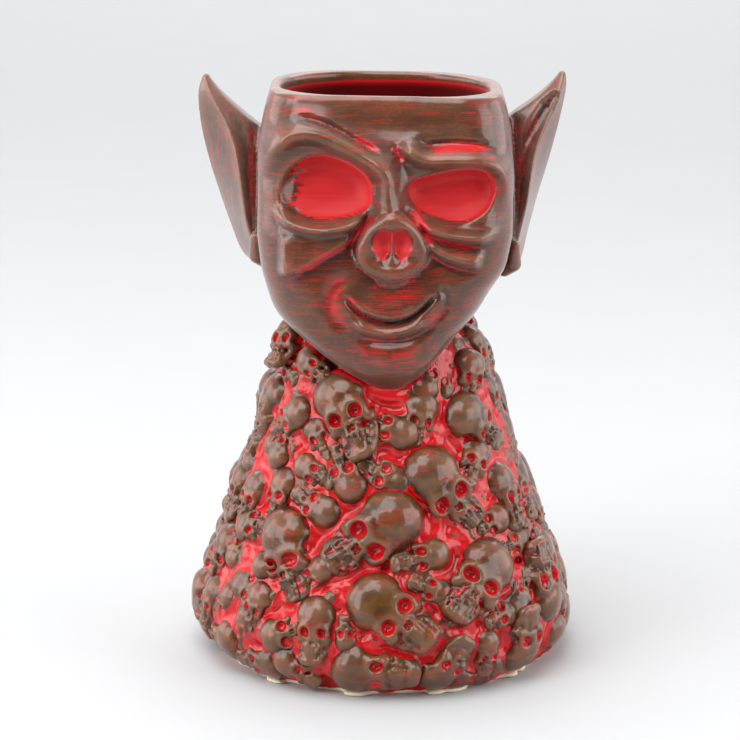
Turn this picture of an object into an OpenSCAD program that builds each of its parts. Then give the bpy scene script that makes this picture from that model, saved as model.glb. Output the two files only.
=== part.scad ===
// Tiki mug: a goblin head, open at the top, on a cone of relief skulls.
// Units are millimetres. +Z is up, the mug stands on z = 0 and the face looks along -Y.
// The head, the neck and the mound are one hollow, which holds the drink.

/* [Head] */
// Height of the drinking rim above the table
rim_z = 176.5; // [172:0.5:182]
// Half of the head's width at the temples
head_half_w = 38.5; // [36:0.5:40]
// Thickness of the clay wall
wall = 5; // [4:0.5:6]
// Radius of the throat between the head and the mound
throat_r = 15; // [12:1:16]

/* [Ears] */
// Height of the ear tips
ear_tip_z = 178.8; // [175:0.2:180]
// Distance of the ear tips from the middle plane
ear_tip_x = 53.8; // [50:0.2:56]

/* [Mound] */
// Thickness of the floor disc that is also the foot
floor_t = 5; // [4:0.5:7]
// Radius of the foot
foot_r = 54; // [50:0.5:54]
// How far each skull's centre is sunk below the mound's surface, as a part of its radius
sink = 0.35; // [0.3:0.05:0.5]

/* [Hidden] */
$fn = 144;
hull_fn = 28;
neck_z = 94;

// The mound's outer surface, as [height, radius]
MOUND = [[0, 54.5], [8, 56.5], [16, 56], [24, 54], [32, 51], [40, 47.5],
         [55, 42.5], [71, 37], [86, 32], [neck_z, 29.5], [102, 26]];

// Sections of the head, as [height, half width, front y, back y, front and back corner radius]
HEAD = [[rim_z, head_half_w - 4.6, -27, 28, 12, 17],
        [rim_z - 2, head_half_w - 3, -28.5, 29.5, 13, 18],
        [166, head_half_w - 1, -31.5, 31.5, 16, 22],
        [150, head_half_w, -34, 33, 18, 26],
        [130, head_half_w - 0.5, -35.5, 32, 18, 26],
        [118, head_half_w - 2, -36, 29, 18, 24],
        [106, 28, -35, 25, 15, 20],
        [96, 19, -34, 20, 11, 14],
        [88, 9, -31, 16, 7, 8]];

// Eye sockets, as [middle x, middle z, half width, half height]
SOCKETS = [[-17.7, 151.5, 13.5, 10], [18.7, 149.2, 13.3, 9.3]];

// Skulls, as [direction round the mound in degrees, height, cranium radius, jaw's turn].
// Direction 0 faces the front. A jaw's turn of 0 points it down, and 90 along +X at the front.
SKULLS = [
    // the front
    [-23, 86, 8.4, 34], [19, 84, 5, -25], [43, 76, 7.6, 76], [-46, 72, 7.2, -70],
    [-65, 55, 5.2, -10], [-15, 62.5, 5.2, -150], [-25, 54, 5, -120], [1, 52, 9, -47],
    [21, 64, 8.2, 39], [56, 58, 6.6, 5], [17, 42, 5, -75], [37, 36, 8.6, -46],
    [-39, 44, 8.2, 31], [-73, 36, 6.2, -5], [-43, 25, 7, -110], [-22, 24, 5.8, -5],
    [-2, 29, 8.4, 55], [-8, 9, 7, 80], [17, 8, 5.6, 140], [33, 15, 4.2, 0],
    [48, 10, 6.8, 178], [78, 33.5, 6.6, 10], [40, 94.5, 4.8, -20], [-53, 90, 4.8, 5],
    [-83, 54, 6, 20], [77, 57, 6.6, -20], [-31, 9, 5, 60], [62, 23, 7.4, 180],
    // the sides
    [-58, 10, 6, -80], [-88, 15, 7.4, 45], [83, 10, 6.8, 80], [75, 85, 5, 10],
    [-77, 82, 6.4, -10], [98, 80, 7.4, -10], [-103, 80, 7.2, -20],
    // the back
    [127, 84, 7.8, -20], [157, 80, 7.2, 30], [-167, 84, 7.4, -20], [-136, 84, 7.4, 30],
    [101, 52, 8.4, -10], [129, 54, 7.8, 10], [158, 54, 8.2, -15], [-172, 56, 7.8, 15],
    [-145, 54, 8.6, -25], [-114, 52, 8.2, 20], [106, 25, 8.4, 0], [132, 27, 8.2, -15],
    [157, 25, 8.6, 40], [-172, 27, 8.6, -20], [-142, 24, 8.4, 20], [-114, 22, 8.6, -35],
    [118, 7.5, 4.2, 70]];

SKULL_NODES = [for (i = [1 : len(SKULLS)]) str("skull_", i < 10 ? "0" : "", i)];

// Radius of the mound's surface at height z
function mound_r(z) = lookup(z, MOUND);
// How far the mound's surface leans back at height z, in degrees
function lean(z) = atan2(mound_r(z - 4) - mound_r(z + 4), 8);

// A convex stack of rounded rectangles, each drawn in by inset
module head_stack(sections, inset) {
    hull()
        for (s = sections, x = [-1, 1], back = [0, 1]) {
            corner = max(s[4 + back] - inset, 2);
            y = back ? s[3] - inset - corner : s[2] + inset + corner;
            translate([x * (s[1] - inset - corner), y, s[0]])
                cylinder(r = corner, h = 0.2, $fn = hull_fn);
        }
}

module head_outer() {
    head_stack(HEAD, 0);
}

// An eye socket's ball-ended hollow, swollen by grow
module socket(s, grow) {
    hull()
        for (x = [-1, 1])
            translate([s[0] + x * (s[2] - s[3]), -38, s[1]])
                sphere(r = s[3] + grow, $fn = hull_fn);
}

// A row of balls of radius r joined into one bar through the given points
module bar(points, r) {
    hull()
        for (p = points)
            translate(p)
                sphere(r = r, $fn = 16);
}

module throat() {
    translate([0, -4, 70])
        cylinder(r = throat_r, h = 50);
}

module head_hollow() {
    difference() {
        union() {
            head_stack([for (s = HEAD) if (s[0] < rim_z - 5 && s[0] > 100) s], wall);
            head_stack([[rim_z + 1, head_half_w - 3, -28.5, 29.5, 13, 18],
                        [150, head_half_w, -34, 33, 18, 26]], wall);
        }
        for (s = SOCKETS)
            socket(s, wall - 1);
    }
}

module head_shell() {
    color([0.43, 0.33, 0.27])
        difference() {
            union() {
                head_outer();
                bar([[-29, -29, 163], [-18, -33, 166], [-2, -36, 157]], 3);
                bar([[6, -34, 162], [18, -34, 162.5], [29, -30, 160]], 3);
                bar([[-26, -31, 129], [-10, -35, 138]], 3.5);
                bar([[8, -35, 141], [28, -31, 130]], 3.5);
                bar([[-9, -35, 109], [0, -36, 106], [11, -35, 109]], 3);
            }
            head_hollow();
            throat();
            for (s = SOCKETS)
                socket(s, 0);
            bar([[-12.5, -37, 118], [0, -38, 113]], 1.2);
            bar([[0, -38, 113], [15.5, -36.5, 118]], 1.2);
        }
}

module nose() {
    color([0.43, 0.33, 0.27])
        difference() {
            hull() {
                for (p = [[1.6, -35, 142], [-4.4, -36.5, 134.5], [7.6, -36.5, 134.5], [1.6, -38.5, 130.5]])
                    translate(p)
                        sphere(r = 4, $fn = 20);
            }
            for (x = [-1.6, 4.8])
                translate([x, -42.5, 135.5])
                    sphere(r = 3, $fn = 20);
            head_outer();
        }
}

// An ear on the side that s points to: a thick leaf with a scoop in its front
module ear(s) {
    color([0.5, 0.38, 0.33])
        difference() {
            hull()
                for (p = [[ear_tip_x, 2, ear_tip_z, 1.2], [ear_tip_x, 4, 160, 2.4], [50, 5, 145, 3.2],
                          [44.5, 4, 129, 3.6], [40, 0, 122, 3], [36, 4, 158, 4], [34, 0, 126, 4],
                          [48, -6, 158, 1.8], [44, -9, 140, 2]])
                    translate([s * p[0], p[1], p[2]])
                        sphere(r = p[3], $fn = 18);
            hull()
                for (p = [[50, -5, 170, 1.5], [43, -10, 152, 3.6], [39.5, -11, 132, 3]])
                    translate([s * p[0], p[1], p[2]])
                        sphere(r = p[3], $fn = 18);
            head_outer();
        }
}

module left_ear() {
    ear(-1);
}

module right_ear() {
    ear(1);
}

module mound_outer() {
    rotate_extrude()
        polygon(concat([[0, 0]], [for (p = MOUND) [p[1], p[0]]], [[0, 102]]));
}

// The mound's hollow, one wall inside its surface, closing towards the throat
module mound_hollow() {
    rotate_extrude()
        polygon(concat([[0, 0], [mound_r(floor_t) - wall, 0]],
                       [for (p = MOUND) if (p[0] > floor_t && p[0] < 80) [p[1] - wall - 0.5, p[0]]],
                       [[throat_r + 6, 87], [throat_r, 92], [0, 92]]));
}

// The part of the mound's clay between two heights, without the head and the hollow
module mound_band(low, high) {
    difference() {
        intersection() {
            mound_outer();
            translate([0, 0, low])
                cylinder(r = 80, h = high - low);
        }
        head_outer();
        throat();
        mound_hollow();
    }
}

module neck_collar() {
    color([0.8, 0.16, 0.15])
        mound_band(neck_z, 102);
}

module mound_shell() {
    color([0.8, 0.16, 0.15])
        mound_band(floor_t, neck_z);
}

module foot_disc() {
    color([0.92, 0.88, 0.78])
        cylinder(r = foot_r, h = floor_t);
}

// A skull of cranium radius r: the jaw points along -Z and the face looks along -Y
module skull_solid(r) {
    difference() {
        union() {
            rotate([90, 0, 0])
                sphere(r = r);
            translate([0, 0.1 * r, -2.1 * r])
                cylinder(r1 = 0.58 * r, r2 = 0.88 * r, h = 2.1 * r);
        }
        for (x = [-0.4, 0.4])
            translate([x * r, -0.85 * r, -0.75 * r])
                sphere(r = 0.3 * r);
    }
}

// A skull laid on the mound and cut off at its surface
module skull(s) {
    dip = pow(sin(s[3]), 2) * atan2(1.1 * s[2], mound_r(s[1]));
    color([0.4, 0.31, 0.24])
        difference() {
            rotate([0, 0, s[0]])
                translate([0, -mound_r(s[1]), s[1]])
                    rotate([-lean(s[1]), 0, 0])
                        translate([0, sink * s[2], 0])
                            rotate([0, -s[3], 0])
                                rotate([dip, 0, 0])
                                    skull_solid(s[2]);
            mound_outer();
            if (s[1] > 78)
                head_outer();
        }
}

head_shell();
nose();
left_ear();
right_ear();
neck_collar();
mound_shell();
foot_disc();
for (i = [0 : len(SKULLS) - 1])
    skull(SKULLS[i]);
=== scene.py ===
"""Tiki mug: a glazed goblin head, open at the top, on a mound of relief skulls.

The clay forms are sculpted as signed distances in millimetres on lattices of points, around the
places that the frame's parts give, and then meshed in metres. Distances are negative in the clay.
"""

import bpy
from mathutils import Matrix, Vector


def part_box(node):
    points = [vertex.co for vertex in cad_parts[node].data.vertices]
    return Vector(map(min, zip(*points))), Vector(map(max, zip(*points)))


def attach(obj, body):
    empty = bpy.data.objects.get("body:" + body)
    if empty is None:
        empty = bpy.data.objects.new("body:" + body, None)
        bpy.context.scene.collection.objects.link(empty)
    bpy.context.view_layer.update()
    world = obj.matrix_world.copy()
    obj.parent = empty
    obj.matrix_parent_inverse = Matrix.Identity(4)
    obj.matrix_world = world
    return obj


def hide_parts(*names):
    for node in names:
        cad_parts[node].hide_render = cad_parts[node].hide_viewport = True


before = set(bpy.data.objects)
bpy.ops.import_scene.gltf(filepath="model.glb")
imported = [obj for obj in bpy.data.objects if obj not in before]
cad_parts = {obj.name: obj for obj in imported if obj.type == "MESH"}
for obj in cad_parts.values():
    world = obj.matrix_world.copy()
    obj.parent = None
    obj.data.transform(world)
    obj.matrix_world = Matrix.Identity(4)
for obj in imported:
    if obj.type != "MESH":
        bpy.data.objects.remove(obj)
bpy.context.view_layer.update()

import copy
import math

import bpy
import numpy as np
import openvdb
from mathutils import Vector

MM = 0.001

# Driving sizes, in millimetres
GRAIN = 0.6            # lattice spacing of the head
FINE = 0.42            # lattice spacing of the small pieces
MOUND_GRAIN = 0.7      # lattice spacing of the mound and the foot
WORLD_GRAIN = 0.9      # lattice spacing of the whole mug, which only the glaze is worked out from
WALL = 5.2             # thickness of the cast wall
GLAZE_FILLET = 2.0     # how widely the glaze rounds the joints between the pieces of clay
NOSE_FILLET = 2.8      # how widely the nose runs into the face
LIP_ROUND = 1.8        # rounding of the drinking rim
GLAZE_START = 0.9      # height over the table where the glaze begins
FINE_BLUR = 0.9        # width over which a crease in the surface is measured
WIDE_BLUR = 2.2        # width over which a hollow in the whole mug is measured
TABLE_STEP = 0.25      # step in height at which the tables of sections are smoothed
FAR = 12.0             # distance that stands for a place far from any clay


def node_points(name):
    """A CAD part's vertices in millimetres, as an N x 3 array."""
    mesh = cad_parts[name].data
    points = np.empty(len(mesh.vertices) * 3, np.float32)
    mesh.vertices.foreach_get("co", points)
    return points.reshape(-1, 3) / MM


def node_box(name):
    """A CAD part's lowest and highest corners in millimetres."""
    low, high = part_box(name)
    return np.array(low) / MM, np.array(high) / MM


# ---- small maths

def smooth_min(a, b, k):
    """The lower of two distances, rounded over a width of k."""
    h = np.clip(0.5 + 0.5 * (b - a) / k, 0.0, 1.0)
    return b + (a - b) * h - k * h * (1.0 - h)


def smooth_max(a, b, k):
    """The higher of two distances, rounded over a width of k."""
    return -smooth_min(-a, -b, k)


def ramp(x, low, high):
    """0 below low, 1 above high, and a smooth step between."""
    t = np.clip((x - low) / (high - low), 0.0, 1.0)
    return t * t * (3.0 - 2.0 * t)


def curve_through(points, steps, closed=False):
    """A Catmull-Rom curve through points, as an N x D array."""
    p = np.array(points, float)
    n = len(p)
    spans = n if closed else n - 1
    out = []
    for i in range(spans):
        if closed:
            a, b, c, d = (p[(i + j) % n] for j in (-1, 0, 1, 2))
        else:
            a, b, c, d = p[max(i - 1, 0)], p[i], p[i + 1], p[min(i + 2, n - 1)]
        for t in np.arange(steps) / steps:
            out.append(0.5 * (2 * b + (c - a) * t + (2 * a - 5 * b + 4 * c - d) * t ** 2
                              + (3 * b - a - 3 * c + d) * t ** 3))
    if not closed:
        out.append(p[-1])
    return np.array(out)

def fade(t, start, end):
    """1 along a stroke, falling to 0 over its first and last parts."""
    return ramp(t, -0.001, start) * (1 - ramp(t, 1 - end, 1.001))


def flat_against(out, v):
    """The direction of v along a surface that faces out, of length 1."""
    v = v - (v @ out) * out
    return v / np.linalg.norm(v)


# ---- clay on a lattice

class Clay:
    """Signed distances over a box of lattice points."""

    def __init__(self, low, high, grain=GRAIN):
        self.grain = grain
        self.first = np.floor(np.array(low) / grain).astype(int)
        last = np.ceil(np.array(high) / grain).astype(int)
        self.shape = tuple(last - self.first + 1)
        self.d = np.full(self.shape, FAR, np.float32)

    def with_distances(self, d):
        """A block of the same lattice points with other distances."""
        block = copy.copy(self)
        block.d = d.astype(np.float32)
        return block

    def axes(self, cut=None):
        """The x, y and z of the lattice points, shaped to broadcast, over a slice of the block."""
        grids = []
        for axis in range(3):
            values = (self.first[axis] + np.arange(self.shape[axis])) * self.grain
            values = values.astype(np.float32)
            if cut is not None:
                values = values[cut[axis]]
            size = [1, 1, 1]
            size[axis] = len(values)
            grids.append(values.reshape(size))
        return grids

    def slice_of(self, low, high):
        """The part of the block between two corners, or None where it misses the block."""
        cut = []
        for axis in range(3):
            a = int(math.floor(low[axis] / self.grain)) - self.first[axis]
            b = int(math.ceil(high[axis] / self.grain)) - self.first[axis] + 1
            a, b = max(a, 0), min(b, self.shape[axis])
            if a >= b:
                return None
            cut.append(slice(a, b))
        return tuple(cut)

    def work(self, form, how, blend):
        """Joins a form to the block: how is smooth_min to add it, or smooth_max of its inverse."""
        low, high, distance = form
        margin = blend + 2 * self.grain
        cut = self.slice_of(low - margin, high + margin)
        if cut is not None:
            d = distance(*self.axes(cut))
            self.d[cut] = how(self.d[cut], d, blend)

    def add(self, form, blend=1.0):
        self.work(form, smooth_min, blend)

    def cut(self, form, blend):
        self.work(form, lambda a, b, k: smooth_max(a, -b, k), blend)

    def add_clay(self, other, blend):
        """Joins another block's clay, which may lie on a finer or coarser lattice."""
        step = other.grain
        low, high = other.first * step, (other.first + np.array(other.shape) - 1) * step
        cut = self.slice_of(low + self.grain, high - self.grain)
        if cut is None:
            return
        d = other.d
        for axis, values in enumerate(self.axes(cut)):
            t = np.clip(values.ravel() / step - other.first[axis], 0, other.shape[axis] - 1.001)
            i = t.astype(int)
            size = [1, 1, 1]
            size[axis] = len(t)
            f = (t - i).reshape(size).astype(np.float32)
            d = d.take(i, axis) * (1 - f) + d.take(i + 1, axis) * f
        self.d[cut] = smooth_min(self.d[cut], d, blend)

    def sample(self, points):
        """The distance at each of N points, in millimetres."""
        t = points / self.grain - self.first
        t = np.clip(t, 0, np.array(self.shape) - 1.001)
        i = t.astype(int)
        f = t - i
        total = np.zeros(len(points))
        for corner in np.ndindex(2, 2, 2):
            weight = np.prod([f[:, k] if corner[k] else 1 - f[:, k] for k in range(3)], axis=0)
            total += weight * self.d[i[:, 0] + corner[0], i[:, 1] + corner[1], i[:, 2] + corner[2]]
        return total

    def blurred(self, width, clip=4.0):
        """A copy with its distances clipped and then blurred by a bell curve of this width."""
        reach = int(math.ceil(2.5 * width / self.grain))
        taps = np.exp(-0.5 * (np.arange(-reach, reach + 1) * self.grain / width) ** 2)
        taps /= taps.sum()
        d = np.clip(self.d, -clip, clip)
        for axis in range(3):
            edges = [(reach, reach) if k == axis else (0, 0) for k in range(3)]
            padded = np.pad(d, edges, mode="edge")
            n = d.shape[axis]
            d = sum(np.float32(w) * padded.take(range(j, j + n), axis) for j, w in enumerate(taps))
        return self.with_distances(d)


def egg(centre, radii, axes=None):
    """An ellipsoid, with its three axes as the rows of axes."""
    c, r = np.array(centre, float), np.array(radii, float)
    m = np.eye(3) if axes is None else np.array(axes, float)
    least = r.min()

    def distance(x, y, z):
        u = [((x - c[0]) * m[i, 0] + (y - c[1]) * m[i, 1] + (z - c[2]) * m[i, 2]) / r[i]
             for i in range(3)]
        k0 = np.sqrt(u[0] ** 2 + u[1] ** 2 + u[2] ** 2)
        k1 = np.sqrt((u[0] / r[0]) ** 2 + (u[1] / r[1]) ** 2 + (u[2] / r[2]) ** 2)
        return np.where(k0 < 0.2, k0 * least - least, k0 * (k0 - 1.0) / np.maximum(k1, 1e-4))
    reach = np.sqrt(((m * r[:, None]) ** 2).sum(0))
    return c - reach, c + reach, distance


def bar(points, radii):
    """A round bar of changing radius along a row of points."""
    p, r = np.array(points, float), np.array(radii, float)

    def distance(x, y, z):
        best = None
        for a, b, ra, rb in zip(p[:-1], p[1:], r[:-1], r[1:]):
            ab = b - a
            t = ((x - a[0]) * ab[0] + (y - a[1]) * ab[1] + (z - a[2]) * ab[2]) / max(ab @ ab, 1e-6)
            t = np.clip(t, 0.0, 1.0)
            d = np.sqrt((x - a[0] - t * ab[0]) ** 2 + (y - a[1] - t * ab[1]) ** 2
                        + (z - a[2] - t * ab[2]) ** 2) - (ra + t * (rb - ra))
            best = d if best is None else np.minimum(best, d)
        return best
    return (p - r[:, None]).min(0), (p + r[:, None]).max(0), distance


# ---- the head

RIM_Z = float(node_box("head_shell")[1][2])
HEAD_SIDE = (node_box("head_shell")[1][0] - node_box("head_shell")[0][0]) / 2
HEAD_LOW = np.array([-HEAD_SIDE - 3, -50, 78])
HEAD_HIGH = np.array([HEAD_SIDE + 3, 37, RIM_Z + 3])

# Sections of the head: height, left and right half width, front and back y, front and back corner
HEAD = [(RIM_Z + 20, 33.8, 34.0, -26.5, 27.5, 13, 24), (RIM_Z + 1, 34.6, 34.8, -27.5, 28, 13, 24),
        (173, 36.2, 36.4, -29.5, 29.5, 13, 24), (166, 37.4, 37.5, -31.5, 31, 14, 25),
        (158, 38.2, 38.1, -33, 32.5, 14, 26), (150, 38.5, 38.5, -34, 33, 14, 27),
        (135, 38.5, 38.2, -34.5, 32.5, 14, 27), (125, 37.2, 36.2, -35, 31, 15, 25),
        (118, 34.9, 31, -35.5, 29, 16, 24), (113, 33.1, 28.3, -36, 27, 16, 22),
        (108, 29.1, 24.3, -36.2, 24, 15, 18), (104, 24.3, 20.2, -36.2, 20, 13, 14),
        (100, 19.5, 17, -36, 14, 11, 10), (96.5, 14.5, 14, -35.5, 6, 9, 6),
        (93.5, 10, 11, -34.5, -4, 7, 4), (91, 5.5, 7.5, -33, -14, 5, 2),
        (89, 1.5, 2.5, -31, -20, 2, 1), (70, 1, 1, -29, -24, 1, 1)]
# The same for the drink's space inside the head
HOLLOW = [(RIM_Z + 20, 31.2, 30.8, -23.8, 24.4, 19, 26), (RIM_Z - 2, 31.5, 31.2, -24.4, 25, 18, 26),
          (166, 32.6, 32.4, -26.4, 26, 13, 25), (150, 33.1, 33.1, -28.6, 27.8, 9, 21),
          (130, 33, 32.5, -29.8, 27, 10, 20), (120, 31, 28, -30, 24, 11, 19),
          (112, 25, 22, -29, 20, 11, 15), (105, 18, 17, -24, 15, 10, 12),
          (98, 15, 15, -19, 11.5, 14, 14), (70, 15, 15, -19, 11, 14.5, 14.5)]


def smooth_table(rows, heights, spread=1.6):
    """The columns of a table of sections at every height, with the bends rounded over."""
    rows = sorted(rows)
    z = np.array([r[0] for r in rows], float)
    fine = np.arange(z[0], z[-1], TABLE_STEP)
    reach = int(4 * spread / TABLE_STEP)
    bell = np.exp(-0.5 * (np.arange(-reach, reach + 1) * TABLE_STEP / spread) ** 2)
    bell /= bell.sum()
    columns = []
    for i in range(1, len(rows[0])):
        v = np.interp(fine, z, [r[i] for r in rows])
        v = np.convolve(np.pad(v, reach, mode="edge"), bell, mode="valid")
        columns.append(np.interp(heights, fine, v).astype(np.float32))
    return columns


def columns_over(z, rows, spread=1.6):
    """The columns of a table at a block's heights, shaped to broadcast."""
    return [c.reshape(1, 1, -1) for c in smooth_table(rows, z.ravel(), spread)]


def stacked(rows, x, y, z):
    """Distance to a stack of rounded rectangles, such as the head."""
    left, right, front, back, round_front, round_back = columns_over(z, rows)
    u = np.abs(x - (right - left) / 2) - (right + left) / 2
    v = np.abs(y - (front + back) / 2) - (back - front) / 2
    corner = np.where(y < (front + back) / 2, round_front, round_back)
    u, v = u + corner, v + corner
    beyond = np.sqrt(np.maximum(u, 0) ** 2 + np.maximum(v, 0) ** 2)
    return beyond + np.minimum(np.maximum(u, v), 0) - corner


# ---- relief drawn on the face

class Relief:
    """A height over the face plane, in millimetres, built from strokes. x is across, z is up."""

    def __init__(self, x, z):
        self.x, self.z = x.reshape(-1, 1), z.reshape(1, -1)
        self.h = np.zeros((x.size, z.size), np.float32)
        self.red = np.zeros_like(self.h)

    def follow(self, points, closed=False):
        """Distance to a curve, its side (+1 is left of the way it runs), and the part of it passed."""
        p = curve_through(points, 8, closed)
        if closed:
            p = np.vstack([p, p[:1]])
        lengths = np.concatenate([[0], np.cumsum(np.hypot(*np.diff(p, axis=0).T))])
        best = np.full(self.h.shape, 1e6, np.float32)
        side = np.ones_like(best)
        along = np.zeros_like(best)
        for a, b, s0, s1 in zip(p[:-1], p[1:], lengths[:-1], lengths[1:]):
            d = b - a
            t = ((self.x - a[0]) * d[0] + (self.z - a[1]) * d[1]) / max(d @ d, 1e-9)
            t = np.clip(t, 0, 1)
            ex, ez = self.x - a[0] - t * d[0], self.z - a[1] - t * d[1]
            dist = np.hypot(ex, ez)
            nearer = dist < best
            best = np.where(nearer, dist, best)
            side = np.where(nearer, np.sign(d[0] * ez - d[1] * ex), side)
            along = np.where(nearer, (s0 + t * (s1 - s0)) / lengths[-1], along)
        return best, side, along

    def ridge(self, points, width, height, start=0.2, end=0.2):
        """A rounded ridge, or a groove where height is negative. It fades over start and end."""
        d, _, t = self.follow(points)
        self.h += height * np.exp(-((d / width) ** 2)) * fade(t, start, end)

    def fold(self, points, height, wide, narrow, start, end):
        """A flat fold left of the curve, wide at its start and end, that drops sharply at the right."""
        d, side, t = self.follow(points)
        plane = np.exp(-((d / (wide[0] + (wide[1] - wide[0]) * t)) ** 4))
        profile = np.where(side > 0, plane, np.exp(-((d / narrow) ** 2)))
        self.h += height * profile * fade(t, start, end)

    def paint(self, points, width, amount, start=0.2, end=0.2):
        """Red glaze left along a curve."""
        d, _, t = self.follow(points)
        self.red = np.maximum(self.red, amount * np.exp(-((d / width) ** 2)) * fade(t, start, end))

    def brown(self, points, width):
        """Brown glaze lying in a groove where red would otherwise show. The red goes below 0 there, which
        also paints shade: the brown turns darker in the groove.
        """
        d, _, t = self.follow(points)
        self.red -= (1 - ramp(d, 0.5 * width, width)) * ramp(t, 0, 0.2) * (1 + self.red)

    def swell(self, centre, radii, height, turn=0):
        """A broad bump, or a dent where height is negative."""
        c, s = math.cos(math.radians(turn)), math.sin(math.radians(turn))
        dx, dz = self.x - centre[0], self.z - centre[1]
        u, v = (dx * c + dz * s) / radii[0], (dz * c - dx * s) / radii[1]
        self.h += height * np.exp(-(u * u + v * v))

    def bowl(self, outline, low_depth, high_depth, slope, inner_fade=None):
        """A hollow inside an outline, deepest at its upper edge. Returns how far in each point is."""
        d, side, _ = self.follow(outline, closed=True)
        inside = np.where(side < 0, d, -d)
        heights = [p[1] for p in outline]
        t = ramp(self.z, min(heights), max(heights))
        dish = 1 - (1 - np.clip((inside - 0.2) / slope, 0, 1)) ** 2
        dish = 0.4 * ramp(inside, -0.4, 0.8) + 0.6 * dish
        depth = (low_depth + (high_depth - low_depth) * t) * dish
        if inner_fade:
            depth = depth * ramp(self.x, *inner_fade)
        self.h -= depth
        return inside


LEFT_SOCKET = [(-31.3, 150), (-29, 156.3), (-24, 160.2), (-18, 161.2), (-11, 159.2), (-6, 155.4),
               (-4, 151), (-5, 146), (-10, 143), (-19, 141.6), (-27, 143.2), (-30.6, 146.3)]
RIGHT_SOCKET = [(5.5, 150.3), (8, 153.8), (14.5, 155.8), (24, 157.4), (29.5, 156.3), (32.2, 151.5),
                (30.6, 145.5), (26, 142), (20.5, 140.6), (13, 142.3), (7.5, 145.8)]


def shape_head(face):
    """Forehead, muzzle, chin and cheeks, and the hollows that the sockets lie in."""
    face.swell((1.5, 118), (15, 9), 2.6)
    face.swell((1, 99), (9, 6), 1.8)
    face.swell((-27, 117), (9, 10), 1.2, 20)
    face.swell((24, 122), (8, 9), 0.8)
    face.swell((2, 169.5), (20, 5), -1.2)
    face.swell((-20, 148), (15, 10), -1.2)
    face.swell((19, 148), (14, 9), -1.2)


def shape_brows(face):
    """The raised left brow, which runs down into the nose, the flat right brow and the lower lids."""
    # the raised left brow: a slab under a crease, then a ridge over the socket
    face.ridge([(2.2, 142.5), (1, 147), (0.6, 151), (0.2, 154.8), (-2.6, 158.6), (-8, 162.2),
                (-15, 165.8), (-22, 168), (-28.5, 167), (-33, 162), (-34.5, 153)], 3.7, 4.9, 0.08, 0.25)
    face.ridge([(0.5, 161.2), (-4, 163), (-10, 166.2), (-17, 169.8), (-24, 171.8), (-30, 171)],
               1, -2, 0.2, 0.3)
    face.swell((-0.5, 158.2), (5, 3.2), 1.2, -35)
    face.swell((1.4, 150), (3.2, 9), 0.8)
    # the flat right brow: a thick roll with a groove over it
    face.ridge([(4.5, 166), (7.6, 162.4), (12, 160.2), (20, 160.2), (28, 159.9), (33.6, 157),
                (35.6, 151), (34, 143)], 2.4, 4.2, 0.1, 0.4)
    face.ridge([(8, 165.8), (13, 164), (22, 164.2), (34, 163)], 1.5, -1.8, 0.25, 0.35)
    face.ridge([(1.5, 163.4), (3.6, 161.6), (5.2, 158.8)], 1.2, -1.1, 0.35, 0.3)
    # lower lids
    face.ridge([(-33.5, 146), (-28, 141.6), (-19, 140), (-10, 141.2), (-4, 144.8)], 1.6, 3.6)
    face.ridge([(5.5, 145.6), (9.5, 141.6), (15, 138.9), (21, 137.6), (28, 137.2), (34, 138.6)], 1.7, 3.6)


def shape_cheeks(face):
    """The folds of the cheeks and the creases round the nose."""
    # the left cheek: a broad plane that ends in a sharp overhanging fold
    face.fold([(-4.8, 142.6), (-9, 137.8), (-15, 134.2), (-22, 130.2), (-28, 127), (-32.3, 126.6)][::-1],
              4.2, (15, 3), 0.8, 0.09, 0.5)
    face.swell((-21, 135.4), (8, 2.6), -0.7, 22)
    # the right cheek: two rolls fanning out from the nose
    face.ridge([(11, 139.6), (15, 136.6), (22, 134.6), (31, 133.4)], 0.9, -1.6, 0.2, 0.4)
    face.ridge([(10.5, 138.4), (15.5, 133.4), (22, 131), (29.5, 129.8)], 2, 3.9, 0.12, 0.15)
    face.ridge([(12.5, 134), (17, 129.4), (23, 127), (29, 126.6)], 1.3, -1.2, 0.2, 0.3)
    # beside and under the nose
    face.ridge([(6.6, 145.6), (9.8, 141), (12.4, 136.6), (13, 132.5)], 1.2, -2.4, 0.15, 0.3)
    face.ridge([(-3.8, 144.6), (-7.6, 139.4), (-9.8, 134.4), (-9.2, 130)], 1.1, -1.6, 0.2, 0.3)
    face.ridge([(-8.4, 129.2), (-4.8, 126.2), (-1, 124.7)], 0.9, -1.1, 0.3, 0.3)
    face.ridge([(4.4, 124.7), (8.4, 126.4), (12.4, 129.6)], 0.9, -1.1, 0.3, 0.3)


def shape_mouth(face):
    """The mouth with its lips, and the creases round it."""
    face.ridge([(-13.2, 120.6), (-8.6, 115.2), (-3, 112.3), (2, 111.5), (7, 112.9), (11.4, 116),
                (16, 120.6)], 0.65, -2.8, 0.2, 0.16)
    face.ridge([(-9.5, 117.6), (-3.5, 114.8), (2, 114), (7, 115.2), (11.4, 118)], 1.3, 0.9)
    face.ridge([(-10.5, 113), (-6, 109.9), (0.8, 108.6), (7, 109.8), (12.8, 113.4)], 1.5, 1.9)
    face.ridge([(-10.5, 108.6), (-5, 106.4), (1, 105.8), (7, 106.4), (13, 109.6), (17.4, 114.6)],
               1.5, -1.2, 0.25, 0.2)
    face.ridge([(-8, 126), (-14, 123), (-16.8, 118.6), (-15.2, 112.8), (-10.5, 109)],
               2.2, -0.9, 0.3, 0.2)
    face.ridge([(15.5, 122.6), (18.4, 119.6), (17.8, 115.5), (14.2, 111.2)], 1.3, -1.3, 0.25, 0.3)


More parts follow.
